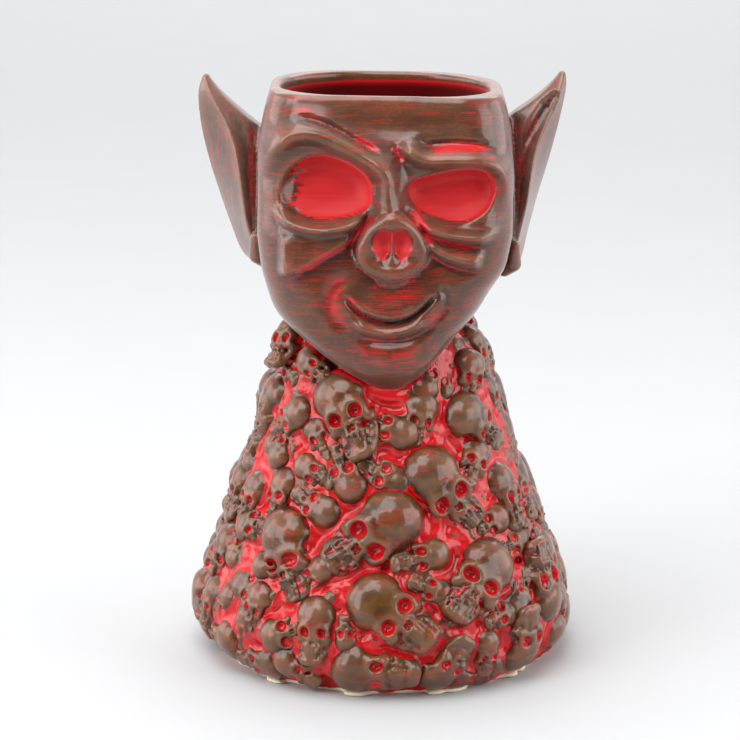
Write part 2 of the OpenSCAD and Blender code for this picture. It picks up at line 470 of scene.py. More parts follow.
def sink_sockets(face):
    """The eye sockets, red but for a brushed edge at the left of the left one. The red goes below 0 at
    that edge, which paints shade: the brown there turns darker.
    """
    left = face.bowl(LEFT_SOCKET, 3, 6.2, 6, (-34.5, -26))
    right = face.bowl(RIGHT_SOCKET, 3.2, 6, 5)
    brushed = value_noise(face.x / 2.5, face.z / 0.9, np.zeros(1), 1, 31)[:, :, 0]
    brushed += 0.6 * value_noise(face.x / 1.2, face.z / 0.5, np.zeros(1), 1, 32)[:, :, 0]
    worn = np.clip((face.x + 28.8 + 3.4 * brushed) / 2, -0.5, 1)
    face.red = np.where(left > 0, worn * ramp(left, -0.1, 0.8), face.red)
    face.red = np.maximum(face.red, ramp(right, -0.1, 0.8))


def paint_creases(face):
    """Red left in the creases and on the thin places, and brown with painted shade in the mouth."""
    face.paint([(9, 163.2), (14, 162.6), (22, 163.2), (33, 162.2)], 1.4, 0.8, 0.3, 0.35)
    face.paint([(0.5, 163.4), (2.8, 162), (5, 158.6)], 1.3, 0.6)
    face.paint([(-13, 167.8), (-8, 165.2), (-4, 163), (-0.5, 161.6)], 1.1, 0.75, 0.4, 0.3)
    face.paint([(-4.6, 142.3), (-9, 137.2), (-15, 133.4), (-22, 129.4), (-29, 125.6)], 1.2, 0.8, 0.1, 0.1)
    face.paint([(6.8, 145.2), (9.6, 141), (12, 137), (12.6, 133)], 1.5, 0.95, 0.1, 0.3)
    face.paint([(-3.6, 144.4), (-6.8, 139.4)], 1.1, 0.5, 0.3, 0.3)
    face.paint([(-8.2, 129), (-4.5, 126.2), (-1, 124.6)], 0.9, 0.7, 0.3, 0.3)
    face.paint([(4.4, 124.6), (8, 126.4), (12.3, 130.2)], 0.9, 0.7, 0.3, 0.2)
    face.paint([(-9, 126.5), (-14.4, 123.4), (-16.8, 118.6), (-14.6, 112.8), (-9, 108.4)],
               3.4, 0.5, 0.3, 0.3)
    face.paint([(-12, 120), (-9.5, 116.6)], 0.9, 0.7, 0.3, 0.4)
    face.paint([(17.5, 118.5), (15.8, 114.6), (12.5, 111.4), (8, 109)], 2.4, 0.45, 0.3, 0.4)
    face.paint([(-10, 123), (0, 119), (14, 124)], 5.5, 0.42, 0.3, 0.3)
    face.paint([(-18, 110), (0, 101), (16, 108)], 5.5, 0.38, 0.3, 0.3)
    face.paint([(-3, 107.8), (1, 107.2), (4, 107.8)], 0.9, 0.6, 0.4, 0.4)
    face.paint([(-30, 172.6), (-25, 174.2), (-20, 173.4)], 1.4, 0.5, 0.4, 0.4)
    face.paint([(0, 138.2), (0, 134.2), (4, 134.2), (4, 138.2)], 3.4, 1, 0.01, 0.01)
    face.brown([(-9.5, 116), (-4, 112.8), (2, 111.5), (7, 112.9), (11.4, 116), (15.5, 120.2)], 1)


def draw_face(face):
    """The goblin's whole face. Returns how red each point is."""
    shape_head(face)
    shape_brows(face)
    shape_cheeks(face)
    shape_mouth(face)
    sink_sockets(face)
    paint_creases(face)
    return face.red


def facing_front(y):
    """1 on the face, fading to 0 on the sides of the head."""
    return 1 - ramp(y, -24, -12)


def rim_height(x):
    """The drinking rim: it drops a little towards the right ear."""
    return RIM_Z + 1.1 - 0.018 * x


def solid_below_rim(solid, z):
    """The head's distances without the rim cut, so that the drink space stays open at the top."""
    return np.where(z > RIM_Z - 6, -50, solid)


def sculpt_head(nose, ears):
    """The head, its outer clay while still solid, the drink's space in it and its map of red."""
    outer = Clay(HEAD_LOW, HEAD_HIGH)
    x, y, z = outer.axes()
    relief = Relief(x, z)
    face_red = draw_face(relief)
    solid = stacked(HEAD, x, y, z) - relief.h[:, None, :] * facing_front(y)
    outer.d = smooth_max(solid, z - rim_height(x), 1.5).astype(np.float32)
    hollow = np.maximum(stacked(HOLLOW, x, y, z), solid_below_rim(outer.d, z) + WALL - 0.8)
    shell = outer.with_distances(outer.d)
    shell.add_clay(nose, NOSE_FILLET)
    for piece in ears:
        shell.add_clay(piece, GLAZE_FILLET)
    shell.d = smooth_max(shell.d, outer.d - NOSE_FILLET, 0.3)
    shell.d = smooth_max(shell.d, -hollow, LIP_ROUND)
    return shell, outer, outer.with_distances(hollow), face_red


# ---- nose and ears

def sculpt_nose():
    """The snub nose: a knob round a heart-shaped opening, with a septum and two nostrils."""
    clay = Clay((-12, -50, 119), (16, -28, 150), FINE)
    clay.add(egg((1.9, -33.4, 134.6), (9.6, 6.8, 9.4)), 0.5)
    clay.add(bar([(0.9, -33.4, 148.5), (1.9, -37, 142)], [2.8, 3.6]), 3.5)
    clay.add(bar([(-3.6, -35.4, 129), (2, -36.8, 126.6), (7.8, -35.4, 129)], [2, 2.4, 2]), 2.5)
    rim = [(2, -39.2, 142.6), (-2, -38.9, 141), (-5.4, -38.2, 137), (-6.6, -37.9, 132.6),
           (-4.6, -37.9, 129), (2, -38.4, 127), (8.6, -37.9, 129), (10.6, -37.9, 132.6),
           (9.4, -38.2, 137), (6, -38.9, 141)]
    ring = curve_through(rim, 4, closed=True)
    clay.add(bar(np.vstack([ring, ring[:1]]), [1.8] * (len(ring) + 1)), 3)
    for side in (-1, 1):
        clay.cut(egg((2.0 + side * 2.5, -41.6, 136.4), (4.1, 4.6, 4.2)), 1)
        clay.cut(egg((2.0 + side * 1.9, -41.4, 132.6), (3.5, 3.8, 3.5)), 0.9)
    clay.add(egg((2, -38, 130.6), (2, 1.5, 2)), 1.2)
    clay.add(bar([(2, -39.6, 141), (2, -38, 136), (2, -39, 130.8)],
                 [0.7, 0.35, 0.7]), 0.6)
    return clay


# Ear sections: height, the distance out of the ear's back edge, of its front ridge and of its
# inner edge, and the y of the ridge and the back edge
LEFT_EAR = [(117, 38.5, 37, 30, 0, 3), (121, 41.4, 38, 30, -2.5, 5), (126, 44.9, 38.8, 30, -6, 8),
            (138, 49.3, 41.3, 30, -9, 10), (150, 53.2, 43.2, 31, -8, 10), (158, 55.2, 44.6, 33, -6, 9),
            (163.5, 56.2, 46.3, 37.5, -4, 8), (167, 56.6, 48, 42, -2.5, 7.5),
            (171, 57, 50.6, 46.4, -0.5, 7), (175, 56.9, 53.2, 50.6, 1.5, 6.5),
            (179.5, 55.4, 54.8, 54.2, 4, 5.5), (183, 54.6, 54.4, 54.2, 4.5, 5)]
RIGHT_EAR = [(114, 36, 35, 28, 0, 3), (118.5, 40, 37, 28, -2.5, 5), (124, 42.2, 38, 28, -6, 8),
             (131, 43.7, 39.2, 29, -9, 10), (141.5, 46.4, 41.8, 30, -9, 10),
             (150, 49, 43, 31, -8, 10), (157, 50.9, 44.3, 33, -6, 9), (164, 52.6, 46.6, 36, -4, 8),
             (168, 53.4, 48.4, 38.5, -2.5, 7.5), (172, 54.2, 50.6, 44.5, -1, 7),
             (176, 54.8, 52.8, 49.2, 1, 6.5), (180.4, 54.6, 54, 53.3, 4, 5.5),
             (184, 54, 53.8, 53.6, 4.5, 5)]


def side_of_line(u, y, a, b):
    """Distance to the right of the line from a to b, each a pair of columns over height."""
    du, dy = b[0] - a[0], b[1] - a[1]
    length = np.maximum(np.hypot(du, dy), 0.5)
    return ((u - a[0]) * dy - (y - a[1]) * du) / length


def sculpt_ear(rows, out):
    """A pointed ear: a smooth outer face, a front ridge and a scooped channel. out is -1 or +1."""
    foot, top = rows[1][0], rows[-1][0]
    near, far = sorted((27 * out, 60 * out))
    clay = Clay((near, -16, rows[0][0] - 4), (far, 18, top + 1), FINE)
    x, y, z = clay.axes()
    u = x * out
    back, ridge, inner, ridge_y, back_y = columns_over(z, rows, 1.2)
    front_ridge, back_edge = (ridge, ridge_y), (back, back_y)
    inner_back, inner_front = (inner, back_y + 1.5), (inner, (ridge_y + back_y) / 2 - 0.5)
    d = side_of_line(u, y, front_ridge, back_edge) - 0.9
    d = smooth_max(d, side_of_line(u, y, back_edge, inner_back), 1.4)
    d = smooth_max(d, side_of_line(u, y, inner_back, inner_front), 1)
    d = smooth_max(d, side_of_line(u, y, inner_front, front_ridge), 1.2)
    d = smooth_max(d, foot - z, 4)
    clay.d = smooth_max(d, z - top + 2.6, 1.5).astype(np.float32)
    scoop = [(out * 40, -8.2, foot + 9), (out * 40.2, -9.4, foot + 20), (out * 40.6, -8.6, foot + 32),
             (out * 42.4, -6, foot + 42), (out * 47.6, -2, foot + 51), (out * 51.6, 1, foot + 56)]
    widths = np.interp(np.arange(21), [0, 6, 13, 17, 20], [1.6, 3, 3.6, 2.8, 0.8])
    clay.cut(bar(curve_through(scoop, 4), widths), 1)
    clay.add(bar([(out * 36.5, -5, foot + 3), (out * 39, -7.5, foot + 5), (out * 39.6, -9, foot + 11)],
                 [2.6, 2.6, 1.4]), 2)
    return clay


# ---- the mound

MOUND = [(-6, 48.6), (0, 50), (8, 54.6), (16, 56), (24, 54), (32, 51), (40, 47.5), (55, 42.5), (71, 37),
         (86, 32), (94, 29.5), (99, 27.5), (103, 23), (105, 18), (112, 4)]
MOUND_HOLLOW = [(-6, 49), (4.6, 49), (7, 50), (16, 50.4), (24, 48.6), (32, 45.6), (40, 42.2), (55, 37.2),
                (71, 31.5), (80, 27), (87, 20), (92, 15), (130, 15)]
MOUND_TOP, NECK_TOP = 113, 110.0
THROAT_Y, THROAT_RADIUS = -4.0, 15.0       # the way through from the head into the mound
NECK_RADIUS = 20.5
COLLAR_RADIUS, COLLAR_HEIGHT, COLLAR_HOLE = 23.0, 98, 17.5
FLOOR_RADIUS, FLOOR_TOP = 50.0, 5.0        # the floor of the mug
RECESS_RADIUS, RECESS_DEPTH = 45.0, 1.2    # the recess under it
# How far the relief may stand out near the foot, where it was pressed in
SKIRT = [(-6, 51.5), (0, 52.8), (2, 54.7), (4, 56.7), (8, 60), (12, 61.6), (24, 61), (40, 56), (60, 52),
         (110, 50)]
# The same at the right, where the skulls lie flatter
RIGHT_SIDE = [(-6, 54), (0, 55), (4, 57), (8, 58.8), (16, 59), (24, 57.3), (40, 52), (56, 45.8),
              (71, 40.3), (85, 36.8), (96, 34), (110, 31)]


def from_axis(x, y, centre_y=0.0):
    """Distance from an upright axis."""
    return np.sqrt(x * x + (y - centre_y) ** 2)


def revolved(profile, x, y, z):
    """Distance to a solid of revolution about Z."""
    radius, = smooth_table(profile, z.ravel(), 1.5)
    slope = np.gradient(radius, z.ravel()) if z.size > 1 else np.zeros(1)
    steep = (1 / np.sqrt(1 + np.minimum(slope ** 2, 4))).reshape(1, 1, -1)
    return (from_axis(x, y) - radius.reshape(1, 1, -1)) * steep


def value_noise(x, y, z, size, seed):
    """Smooth noise from -1 to 1 on a block, with bumps about size across."""
    rng = np.random.default_rng(seed)
    weights = []
    for axis in (x, y, z):
        t = axis.ravel() / size
        base = np.floor(t).astype(int)
        cell = base - base.min()
        f = t - base
        f = f * f * (3 - 2 * f)
        w = np.zeros((t.size, cell.max() + 2), np.float32)
        w[np.arange(t.size), cell] = 1 - f
        w[np.arange(t.size), cell + 1] = f
        weights.append(w)
    lattice = rng.uniform(-1, 1, [w.shape[1] for w in weights]).astype(np.float32)
    out = np.tensordot(weights[0], lattice, (1, 0))
    out = np.einsum("yj,xjk->xyk", weights[1], out, optimize=True)
    return np.einsum("zk,xyk->xyz", weights[2], out, optimize=True)


def drink_space(x, y, z):
    """Distance to the drink's space in the mound and its throat, negative in the space."""
    low = np.maximum(revolved(MOUND_HOLLOW, x, y, z), FLOOR_TOP - z)
    throat = from_axis(x, y, ramp(z, 80.0, 90.0) * THROAT_Y) - THROAT_RADIUS
    return np.where(z > 84.0, throat, np.maximum(low, -50.0))


# ---- relief skulls

TOOTH = 0.065          # radius of the grooves between teeth, as a part of a skull's radius
SWELL = 1.2            # a sculpted skull's radius over its plain CAD ball's
PROUD = 0.14           # how far out of its ball's place it stands, as a part of its radius
SINK = 0.3             # how much further in the lowest skulls sit, and those at the right
ROUGHNESS = 0.3        # height of the uneven marks in the clay, in millimetres
SKULL_BLOCK = (2.5, 1.25, 3.75)    # width, top and height of a skull's lattice, in skull radii
SMALL_BLOCK = (2.4, 1.3, 3.4)      # the same for a small piece
WHOLE_SKULL = 4.6      # radius from which a small piece is modelled as a whole skull


class Skull:
    """One relief skull: its centre, radius and three axes (across, out of the mound, up its face)."""

    def __init__(self, centre, radius, axes, seed):
        self.centre, self.radius, self.axes, self.seed = centre, radius, axes, seed
        self.clay, self.eyes = None, []

    def at(self, p):
        """A place given in skull radii, as millimetres."""
        return self.centre + self.radius * (np.array(p, float) @ self.axes)

    def egg(self, p, radii):
        return egg(self.at(p), np.array(radii) * self.radius, self.axes)

    def bar(self, points, radii):
        return bar([self.at(p) for p in points], np.array(radii) * self.radius)

    def add(self, form, blend):
        """Joins a form to the skull's clay over a width in skull radii."""
        self.clay.add(form, blend * self.radius)

    def cut(self, form, blend):
        self.clay.cut(form, blend * self.radius)


def fit_skull(name):
    """Finds a CAD skull's centre, radius and direction from its ball and its jaw."""
    p = node_points(name).astype(float)
    middle = (p.min(0) + p.max(0)) / 2
    long_axis = np.linalg.svd(p - middle, full_matrices=False)[2][0]
    along = (p - middle) @ long_axis
    wide = [np.linalg.norm(np.cross(p[s] - middle, long_axis), axis=1).max()
            for s in (along < np.quantile(along, 0.3), along > np.quantile(along, 0.7))]
    if wide[0] > wide[1]:
        long_axis, along = -long_axis, -along
    end = along > along.max() - 0.42 * (along.max() - along.min())
    q = p[end]
    sphere = np.linalg.lstsq(np.column_stack([2 * q, np.ones(len(q))]), (q ** 2).sum(1), rcond=None)[0]
    centre = sphere[:3]
    radius = math.sqrt(max(sphere[3] + centre @ centre, 1.0))
    return centre, radius, -long_axis


def skull_from_node(name, seed):
    """A sculpted skull in the place of a CAD one."""
    centre, radius, jaw = fit_skull(name)
    out = outward(centre)
    jaw = flat_against(out, jaw)
    sideways = max(1 - jaw[2] ** 2 / max(1 - out[2] ** 2, 1e-3), 0)
    curve = math.degrees(math.atan2(1.1 * radius, np.hypot(*centre[:2])))
    dip = math.radians(sideways * curve)
    low = 1 - ramp(centre[2], 9.0, 17.0)
    at_right = (1 - ramp(abs(centre[1]), 14.0, 28.0)) * ramp(centre[0], 0.0, 20.0)
    proud = PROUD - SINK * max(low, at_right)
    return Skull(centre + proud * radius * out, SWELL * radius, skull_axes(out, jaw, dip, seed), seed)


def outward(p):
    """The direction out of the mound at a point near its surface."""
    z = np.array([p[2] - 1.5, p[2] + 1.5])
    r = smooth_table(MOUND, z)[0]
    lean = math.atan2(r[0] - r[1], 3.0)
    flat = np.array([p[0], p[1], 0]) / math.hypot(p[0], p[1])
    return flat * math.cos(lean) + np.array([0, 0, math.sin(lean)])


def skull_axes(out, jaw, dip, seed):
    """The three axes of a skull, turned a little aside as pressed clay is."""
    rng = np.random.default_rng(seed)
    across = np.cross(jaw, out)
    down = jaw * math.cos(dip) - out * math.sin(dip)
    face = out * math.cos(dip) + jaw * math.sin(dip)
    yaw, nod = np.radians(rng.uniform(-13, 13)), np.radians(rng.uniform(-3, 9))
    across, face = (across * math.cos(yaw) + face * math.sin(yaw),
                    face * math.cos(yaw) - across * math.sin(yaw))
    down, face = down * math.cos(nod) - face * math.sin(nod), face * math.cos(nod) + down * math.sin(nod)
    return np.array([-across, face, -down])


def carve_skull(s):
    """Models a whole skull. All sizes are in skull radii, and vary a little between skulls."""
    rng = np.random.default_rng(1000 + s.seed)
    wide, long = rng.uniform(1.0, 1.1), rng.uniform(0.96, 1.08)
    chin, turn, bite = rng.uniform(1.9, 2.2), rng.uniform(-0.16, 0.16), rng.uniform(1.5, 1.64)
    eye, eye_x, eye_z = rng.uniform(0.22, 0.27), rng.uniform(0.38, 0.45), rng.uniform(-0.68, -0.56)
    tall = rng.uniform(0.86, 1.2)
    s.eyes = [(side * eye_x, eye_z, eye) for side in (-1, 1)]
    s.clay.add(s.egg((0, -0.04, 0.06), (wide, 0.95, long)))
    add_brow_and_jaw(s, chin, turn)
    for side in (-1, 1):
        s.add(s.egg((side * eye_x, 0.66, eye_z), (eye + 0.13, 0.22, eye + 0.13)), 0.12)
        s.cut(s.egg((side * eye_x, 0.9, eye_z), (eye * tall, 0.36, eye * 1.1 / tall)), 0.09)
        s.cut(s.egg((side * 1.02, 0.36, -0.42), (0.2, 0.4, 0.3)), 0.2)
        s.cut(s.egg((side * 0.075, 0.96, -1.06), (0.075, 0.26, 0.15)), 0.05)
        s.cut(s.bar([(side * 0.36, 0.82, -1.0), (side * 0.46, 0.72, -1.36)], [0.1, 0.08]), 0.1)
    cut_teeth(s, turn, bite, rng)


def add_brow_and_jaw(s, chin, turn):
    """The brow roll, cheekbones, the sides of the jaw, and the mouth and chin."""
    s.add(s.bar([(-0.66, 0.44, -0.42), (-0.4, 0.74, -0.40), (0, 0.74, -0.47), (0.4, 0.74, -0.40),
                 (0.66, 0.44, -0.42)], [0.14, 0.19, 0.15, 0.19, 0.14]), 0.28)
    for side in (-1, 1):
        s.add(s.egg((side * 0.6, 0.42, -0.93), (0.25, 0.28, 0.22)), 0.2)
        s.add(s.bar([(side * 0.66, 0.1, -0.7), (side * 0.6, 0.28, -1.2),
                     (side * 0.42 + turn, 0.36, -chin + 0.25)], [0.24, 0.17, 0.2]), 0.14)
    s.add(s.bar([(0, 0.52, -0.72), (turn / 2, 0.58, -1.3)], [0.33, 0.35]), 0.2)
    s.add(s.bar([(-0.24 + turn / 2, 0.55, -1.42), (0.24 + turn / 2, 0.55, -1.42)], [0.30, 0.30]), 0.16)
    s.add(s.bar([(-0.25 + turn, 0.50, -chin + 0.22), (0.25 + turn, 0.50, -chin + 0.22)],
                [0.3, 0.3]), 0.14)
    s.add(s.egg((turn, 0.62, -chin + 0.1), (0.2, 0.24, 0.16)), 0.14)


def cut_teeth(s, turn, bite, rng):
    """The line of the mouth, and upright grooves across it."""
    mouth = [(x + turn / 2, 0.9 - 1.1 * x * x, -bite - 0.14 * x * x) for x in (-0.5, -0.25, 0, 0.25, 0.5)]
    s.cut(s.bar(mouth, [0.05] * 5), 0.05)
    for x in np.linspace(-0.38, 0.38, 6):
        front = 0.87 - 1.1 * x * x
        lean = rng.uniform(-0.03, 0.03)
        s.cut(s.bar([(x + turn / 2 + lean, front, -bite + 0.24), (x + turn - lean, front, -bite - 0.26)],
                    [TOOTH, TOOTH]), 0.05)


def carve_small(s):
    """A small, half-buried skull, or a broken jaw with its teeth."""
    if np.random.default_rng(2000 + s.seed).random() < 0.72:
        carve_plain_skull(s)
    else:
        carve_broken_jaw(s)


def carve_plain_skull(s):
    """A simple skull with a jaw block, two sockets, a nose and a mouth."""
    s.eyes = [(side * 0.37, -0.42, 0.26) for side in (-1, 1)]
    s.clay.add(s.egg((0, 0, 0), (0.92, 0.86, 1.05)))
    s.add(s.egg((0, 0.42, -0.95), (0.52, 0.42, 0.62)), 0.25)
    s.add(s.bar([(-0.2, 0.42, -1.45), (0.2, 0.42, -1.45)], [0.34, 0.34]), 0.2)
    for side in (-1, 1):
        s.add(s.egg((side * 0.5, 0.45, -0.72), (0.28, 0.26, 0.24)), 0.2)
        s.cut(s.egg((side * 0.37, 0.84, -0.42), (0.26, 0.42, 0.27)), 0.1)
    s.cut(s.egg((0, 0.92, -0.85), (0.12, 0.3, 0.16)), 0.08)
    s.cut(s.bar([(-0.4, 0.78, -1.3), (0.4, 0.78, -1.3)], [0.08, 0.08]), 0.08)


def carve_broken_jaw(s):
    """Two lumps of bone with a row of teeth cut into them."""
    s.add(s.bar([(-0.5, 0.1, 0.3), (-0.38, 0.3, -0.9)], [0.5, 0.42]), 0.2)
    s.add(s.bar([(0.45, 0.1, 0.2), (0.38, 0.3, -0.95)], [0.46, 0.42]), 0.3)
    for x in np.linspace(-0.62, 0.62, 5):
        s.cut(s.bar([(x, 0.7 - 0.3 * x * x, -0.1), (x * 0.9, 0.76 - 0.3 * x * x, -1.0)],
                    [0.08, 0.08]), 0.08)
    s.cut(s.bar([(-0.8, 0.66, -0.5), (0, 0.84, -0.56), (0.8, 0.66, -0.5)], [0.07] * 3), 0.08)


def roughen(s):
    """Small uneven marks in the clay, strongest on the face and jaw."""
    x, y, z = s.clay.axes()
    up = ((x - s.centre[0]) * s.axes[2][0] + (y - s.centre[1]) * s.axes[2][1]
          + (z - s.centre[2]) * s.axes[2][2]) / s.radius
    marks = value_noise(x, y, z, 1.7, s.seed) + 0.6 * value_noise(x, y, z, 3.4, s.seed + 300)
    s.clay.d += ROUGHNESS * marks * (0.3 + 0.7 * ramp(-up, 0.2, 0.8))


def trim_relief(clay):
    """Cuts a relief off just inside the mound, above the foot and at the skirt."""
    x, y, z = clay.axes()
    d = smooth_max(clay.d, -(revolved(MOUND, x, y, z) + 0.5 * WALL), 0.4)
    d = smooth_max(d, revolved(SKIRT, x, y, z), 2.0)
    away = 9 * ramp(np.abs(y), 12, 28) + 9 * ramp(-x, -20, 0)
    d = smooth_max(d, revolved(RIGHT_SIDE, x, y, z) - away, 2.0)
    clay.d = smooth_max(d, GLAZE_START - z, 0.6).astype(np.float32)


def sculpt_skull(s, carve, wide, top, tall):
    """Carves a skull on its own fine lattice, as wide and tall as given in skull radii."""
    corners = np.array([s.at(((a - 0.5) * wide, (b - 0.5) * wide, top - c * tall))
                        for a, b, c in np.ndindex(2, 2, 2)])
    s.clay = Clay(corners.min(0), corners.max(0), FINE)
    carve(s)
    roughen(s)
    trim_relief(s.clay)


def sculpt_small(s):
    """A small piece of relief: one that is large enough is a whole skull."""
    sculpt_skull(s, carve_skull if s.radius > WHOLE_SKULL else carve_small, *SMALL_BLOCK)


# ---- small relief between the skulls

LEAST_GAP = 1.7        # radius of the smallest gap that gets a small piece of relief
MOST_SMALL = 180       # how many small pieces are tried at most
PLACE_STEP = 1.3       # distance between the places that are tried
LARGEST_FILL = 6.0     # radius of the largest piece that fills a gap
UNDER_CHIN = (2.5, -32.0, 86.5)    # the fold of the collar shows here, with no relief on it
BARE_RADIUS = 7.0      # how far round that place there is none
FIRST_HAND_SEED, FIRST_FILL_SEED = 480, 500

# Small skulls beside the jaw and at the front and left: centre, way the jaw points and radius
HAND_PLACED = [((23.5, -25.0, 80), (0.8, 0.2, -0.6), 7.4), ((-27.5, -7, 101), (-0.3, -0.6, -1), 6.2),
               ((26, -8, 98), (0.6, -0.5, -1), 5.6), ((-22, -22, 96), (0.9, 0, -0.6), 5.0),
               ((25, -19, 94), (-0.5, 0, -1), 5.4), ((-25.4, -23.6, 80), (-0.9, 0.3, -0.6), 5.6),
               ((-35.6, -34.7, 35.5), (0.9, -0.3, 0.5), 4.9), ((-36.8, -38.3, 26), (-0.3, 0, -1), 5.2),
               ((-44.6, -22.2, 34.5), (-0.2, 0.3, 1), 4.7), ((-30.9, -22.8, 67), (-0.3, 0, 1), 5.0),
               ((-22.7, -31.8, 65.4), (0.9, -0.5, -0.4), 4.8),
               ((-18.6, -45.2, 37.6), (-0.7, 0.3, -0.8), 4.7)]


def surface_places(step):
    """Places all over the mound's side, about one step apart."""
    places = []
    for z in np.arange(4.0, 103.0, step):
        r = float(smooth_table(MOUND, np.array([z]))[0][0])
        count = int(2 * math.pi * r / step)
        turn = 2 * math.pi * (np.arange(count) + 0.5 * (int(z / step) % 2)) / count
        places.append(np.column_stack([r * np.sin(turn), -r * np.cos(turn), np.full(count, z)]))
    return np.vstack(places)


def hand_placed_skulls():
    """The skulls of the list above, each turned to lie against the mound."""
    skulls = []
    for seed, (place, jaw, radius) in enumerate(HAND_PLACED, FIRST_HAND_SEED):
        centre = np.array(place, float)
        out = outward(centre)
        axes = skull_axes(out, flat_against(out, np.array(jaw, float)), 0.2, seed)
        skulls.append(Skull(centre, radius, axes, seed))
    return skulls


def small_relief(skulls_clay, head):
    """Small skulls and broken jaws: those listed, then one in each gap, the widest first."""
    rng = np.random.default_rng(77)
    places = surface_places(PLACE_STEP)
    out = np.array([outward(p) for p in places])
    free = np.minimum(skulls_clay.sample(places + 0.8 * out), head.sample(places + 1.0 * out) + 1.5)
    found = hand_placed_skulls()
    for s in found:
        free = np.minimum(free, np.linalg.norm(places - s.centre, axis=1) - 1.25 * s.radius)
    while len(found) < MOST_SMALL and free.max() >= LEAST_GAP:
        best = int(np.argmax(free))
        turn = rng.uniform(0, 2 * math.pi)
        side = np.cross(out[best], (0, 0, 1.0))
        side /= np.linalg.norm(side)
        jaw = math.cos(turn) * side + math.sin(turn) * np.cross(side, out[best])
        radius = min(free[best] * rng.uniform(1.25, 1.55), LARGEST_FILL)
        centre = places[best] - (0.2 * radius) * out[best] - 0.55 * radius * jaw
        seed = FIRST_FILL_SEED + len(found)
        found.append(Skull(centre, radius, skull_axes(out[best], jaw, 0.05, seed), seed))
        near = np.linalg.norm(places - places[best], axis=1)
        free = np.minimum(free, near - 1.1 * radius)
    return [s for s in found if np.linalg.norm(s.centre - UNDER_CHIN) > BARE_RADIUS]


# ---- the mound, its collar and the foot

def mound_block(top=MOUND_TOP, reach=63):
    """An empty block round the mound, up to a height."""
    return Clay((-reach, -reach, -1), (reach, reach, top), MOUND_GRAIN)


def sculpt_mound(reliefs, head_outer):
    """The mound with glaze pooled in it and round the chin, and the mound with its skulls, solid."""
    clay = mound_block()
    x, y, z = clay.axes()
    base = revolved(MOUND, x, y, z)
    base += 0.9 * value_noise(x, y, z, 9.0, 5) * ramp(-z, -104.0, -96.0)
    base += 0.45 * value_noise(x, y, z, 3.6, 6)
    neck = smooth_max(from_axis(x, y, THROAT_Y) - NECK_RADIUS, z - NECK_TOP, 2.0)
    ground = smooth_min(base, neck, 5.0).astype(np.float32)
    clay.d = ground.copy()
    for relief in reliefs:
        clay.add_clay(relief, GLAZE_FILLET)
    whole = clay.with_distances(clay.d)
    clay.add_clay(head_outer, GLAZE_FILLET)
    clay.d = smooth_max(clay.d, ground - GLAZE_FILLET, 0.3)
    clay.d = smooth_max(clay.d, -drink_space(x, y, z), 1.0)
    clay.d = smooth_max(clay.d, GLAZE_START - 0.4 - z, 0.6).astype(np.float32)
    return clay, whole


def sculpt_foot(whole):
    """The unglazed clay foot: an uneven edge just under the glaze, and a floor inside."""
    clay = mound_block(7)
    x, y, z = clay.axes()
    level = int(round(3.2 / MOUND_GRAIN)) - whole.first[2]
    plan = whole.d[:, :, level:level + 1]
    height = 1.5 + 0.4 * value_noise(x, y, np.zeros((1, 1, 1)), 14.0, 9)
    edge = smooth_max(plan + 1.1, z - height, 0.7)
    floor = smooth_max(from_axis(x, y) - FLOOR_RADIUS, z - FLOOR_TOP, 1.0)
    recess = smooth_max(from_axis(x, y) - RECESS_RADIUS, z - RECESS_DEPTH, 1.2)
    body = smooth_max(smooth_min(edge, floor, 1.0), -recess, 0.6)
    clay.d = smooth_max(body, -z, 0.5).astype(np.float32)
    return clay


def sculpt_collar():
    """The roll of clay that lutes the head on to the mound, with its fold under the chin."""
    clay = Clay((-31, -40, 84), (31, 28, 106), FINE)
    rng = np.random.default_rng(12)
    ring = []
    for turn in np.linspace(0, 2 * math.pi, 22)[:-1]:
        r = COLLAR_RADIUS + rng.uniform(-0.8, 0.8)
        height = COLLAR_HEIGHT + rng.uniform(-1.5, 1.5)
        ring.append((r * math.sin(turn), THROAT_Y - r * math.cos(turn), height))
    path = curve_through(ring, 4, closed=True)
    path = np.vstack([path, path[:1]])
    clay.add(bar(path, [2.6] * len(path)))
    fold = curve_through([(-9, -29.0, 91.0), (-3, -31.0, 88.6), (2, -31.6, 87.6), (8, -30.6, 88.6),
                          (13.5, -27.0, 92.4)], 5)
    clay.add(bar(fold, [1.5] * len(fold)), 2.0)
    x, y, _ = clay.axes()
    clay.d = smooth_max(clay.d, COLLAR_HOLE - from_axis(x, y, THROAT_Y), 0.5).astype(np.float32)
    return clay


# ---- meshes

def add_object(name, data):
    """Puts a mesh, a light or a camera into the scene."""
    thing = bpy.data.objects.new(name, data)
    bpy.context.scene.collection.objects.link(thing)
    return thing


def mesh_piece(name, clay, world):
    """Meshes a block of clay in metres and stores how hollow the surface is at each point."""
    grid = openvdb.FloatGrid(3.0)
    grid.copyFromArray(np.clip(clay.d, -3, 3).astype(np.float32),
                       ijk=tuple(int(v) for v in clay.first))
    points, quads = grid.convertToQuads(0.0)
    places = points * clay.grain
    mesh = bpy.data.meshes.new(name)
    mesh.vertices.add(len(points))
    mesh.vertices.foreach_set("co", (places * MM).astype(np.float32).ravel())
    mesh.loops.add(quads.size)
    mesh.loops.foreach_set("vertex_index", quads.astype(np.int32).ravel())
    mesh.polygons.add(len(quads))
    mesh.polygons.foreach_set("loop_start", np.arange(0, quads.size, 4, dtype=np.int32))
    mesh.update(calc_edges=True)
    mesh.polygons.foreach_set("use_smooth", np.ones(len(quads), bool))
    store(mesh, "hollow", -world.sample(places) / WIDE_BLUR)
    store(mesh, "crease", -clay.blurred(FINE_BLUR, 2.5).sample(places) / FINE_BLUR)
    piece = add_object(name, mesh)
    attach(piece, "root")
    return piece, places


